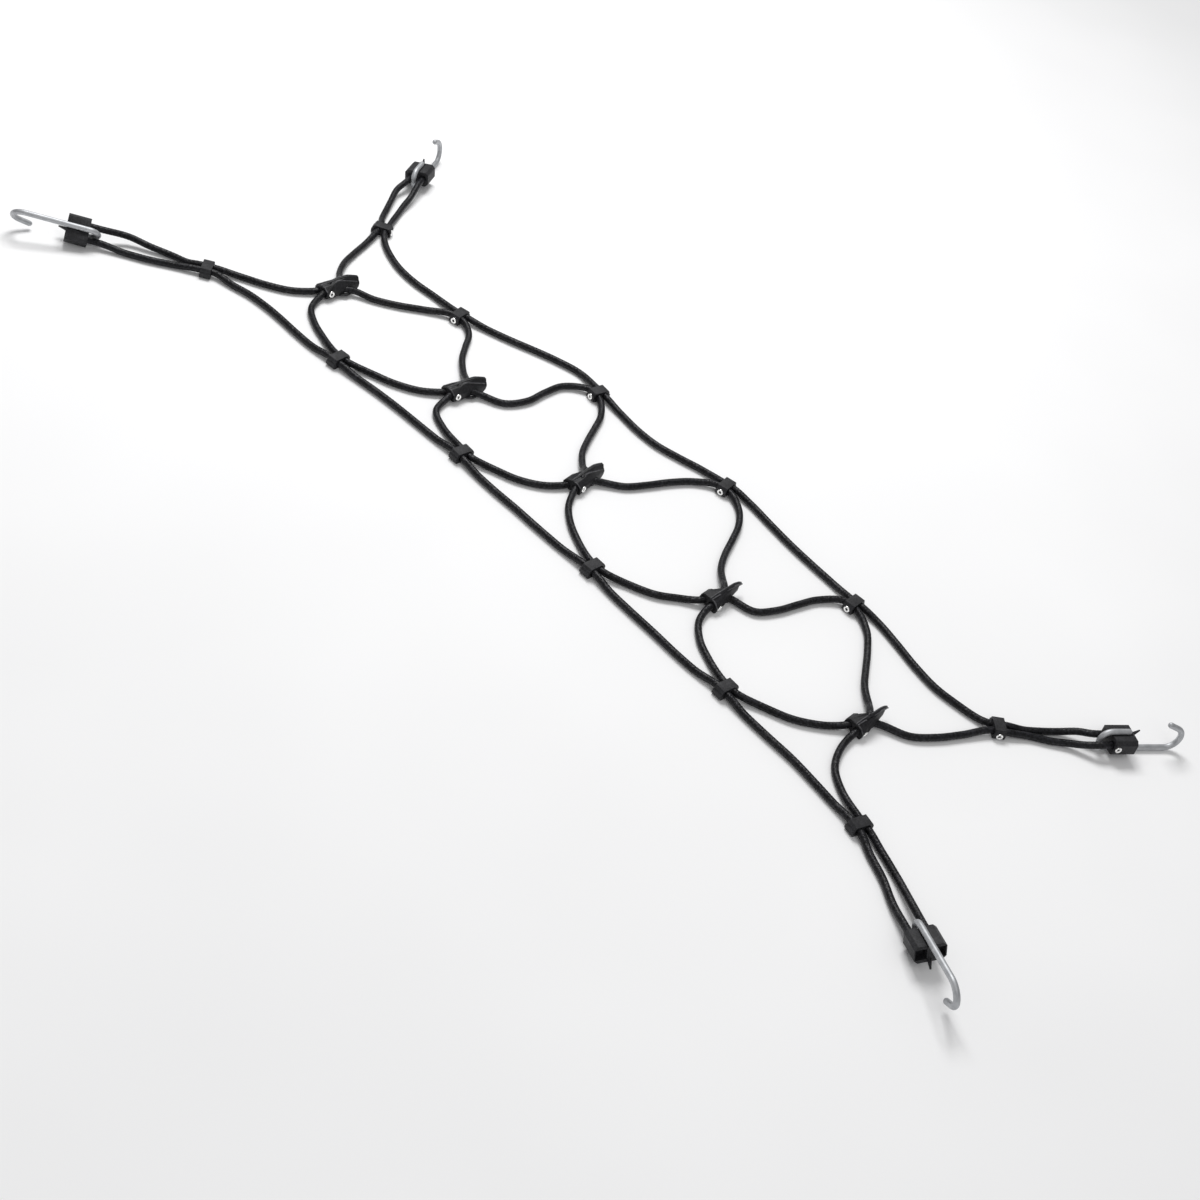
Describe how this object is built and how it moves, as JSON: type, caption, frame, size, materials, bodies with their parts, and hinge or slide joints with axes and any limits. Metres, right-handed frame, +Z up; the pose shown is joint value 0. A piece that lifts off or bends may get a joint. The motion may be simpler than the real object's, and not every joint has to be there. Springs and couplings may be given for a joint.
{
  "type": "luggage net",
  "caption": "Flat elastic-cord luggage net with a diamond mesh, moulded clips at the joints and a wire hook on each corner leg, lying relaxed.",
  "frame": {"origin": "middle of the net's box in plan, on the surface it lies on", "axes": "+X along the net's long side, +Y from its front side to its back side, +Z up"},
  "size_m": [1.0658, 0.4608, 0.0357],
  "materials": {
    "elastic_cord": "black braided elastic",
    "moulded_plastic": "fine grained, black",
    "plated_steel": "zinc plated"
  },
  "bodies": {
    "root": {"block_back_left": "moulded_plastic", "block_back_right": "moulded_plastic", "block_front_left": "moulded_plastic", "block_front_right": "moulded_plastic", "clip_back_1": "moulded_plastic", "clip_back_2": "moulded_plastic", "clip_back_3": "moulded_plastic", "clip_back_4": "moulded_plastic", "clip_centre_1": "moulded_plastic", "clip_centre_2": "moulded_plastic", "clip_centre_3": "moulded_plastic", "clip_centre_4": "moulded_plastic", "clip_centre_5": "moulded_plastic", "clip_front_1": "moulded_plastic", "clip_front_2": "moulded_plastic", "clip_front_3": "moulded_plastic", "clip_front_4": "moulded_plastic", "clip_leg_back_left": "moulded_plastic", "clip_leg_back_right": "moulded_plastic", "clip_leg_front_left": "moulded_plastic", "clip_leg_front_right": "moulded_plastic", "cord_back_outer": "elastic_cord", "cord_front_outer": "elastic_cord", "cord_inner_1": "elastic_cord", "cord_inner_2": "elastic_cord", "hook_back_left": "plated_steel", "hook_back_right": "plated_steel", "hook_front_left": "plated_steel", "hook_front_right": "plated_steel", "rivet_back_1": "plated_steel", "rivet_back_2": "plated_steel", "rivet_back_3": "plated_steel", "rivet_back_4": "plated_steel", "rivet_block_back_left": "plated_steel", "rivet_block_back_right": "plated_steel", "rivet_block_front_left": "plated_steel", "rivet_block_front_right": "plated_steel", "rivet_centre_1": "plated_steel", "rivet_centre_2": "plated_steel", "rivet_centre_3": "plated_steel", "rivet_centre_4": "plated_steel", "rivet_centre_5": "plated_steel", "rivet_front_1": "plated_steel", "rivet_front_2": "plated_steel", "rivet_front_3": "plated_steel", "rivet_front_4": "plated_steel", "rivet_leg_back_left": "plated_steel", "rivet_leg_back_right": "plated_steel", "rivet_leg_front_left": "plated_steel", "rivet_leg_front_right": "plated_steel"}
  },
  "joints": []
}
